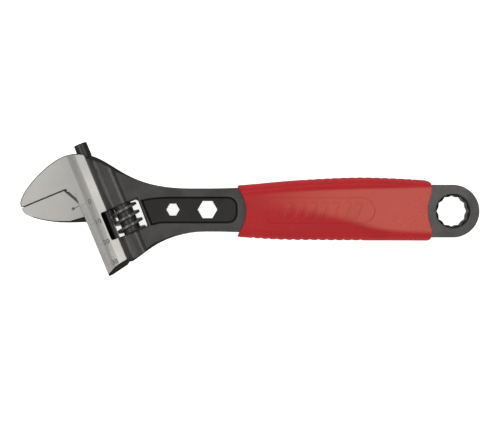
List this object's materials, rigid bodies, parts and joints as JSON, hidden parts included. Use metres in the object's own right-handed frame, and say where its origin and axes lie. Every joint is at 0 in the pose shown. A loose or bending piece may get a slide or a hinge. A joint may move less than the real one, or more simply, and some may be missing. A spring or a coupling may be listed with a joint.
{
  "type": "adjustable wrench",
  "caption": "Adjustable wrench with a sliding jaw moved by a worm, hexagon holes in the neck, a soft grip and a twelve-point ring end.",
  "frame": {"origin": "centre of the ring end's twelve-point socket, on the mid-plane of the steel", "axes": "+X along the handle from the jaws to the ring, +Y to the back of the fixed jaw, +Z square to the flat faces"},
  "size_m": [0.2118, 0.0623, 0.013],
  "materials": {
    "forged_steel": "forged steel with a dark phosphate coat; the flat faces of the head are ground bright",
    "blackened_steel": "turned and blackened steel",
    "spring_steel": "drawn spring wire",
    "soft_grip": "soft moulded plastic, satin, red"
  },
  "bodies": {
    "root": {"wrench_body": "forged_steel", "grip": "soft_grip", "worm_pin": "blackened_steel", "worm_spring": "spring_steel"},
    "jaw": {"movable_jaw": "forged_steel"},
    "adjuster": {"worm": "blackened_steel"}
  },
  "joints": [
    {"name": "worm_spin", "type": "hinge", "parent": "root", "child": "adjuster", "pos_m": [-0.15085, -0.00379, 0], "axis": [-0.3827, 0.9239, 0], "range_deg": [-50.8, 2455.4]},
    {"name": "jaw_slide", "type": "slide", "parent": "root", "child": "jaw", "axis": [0.3827, -0.9239, 0], "range_m": [-0.00055, 0.0266]}
  ],
  "couplings": [
    {"joint": "worm_spin", "follows": "jaw_slide", "rad_per_m": 1611.1}
  ]
}
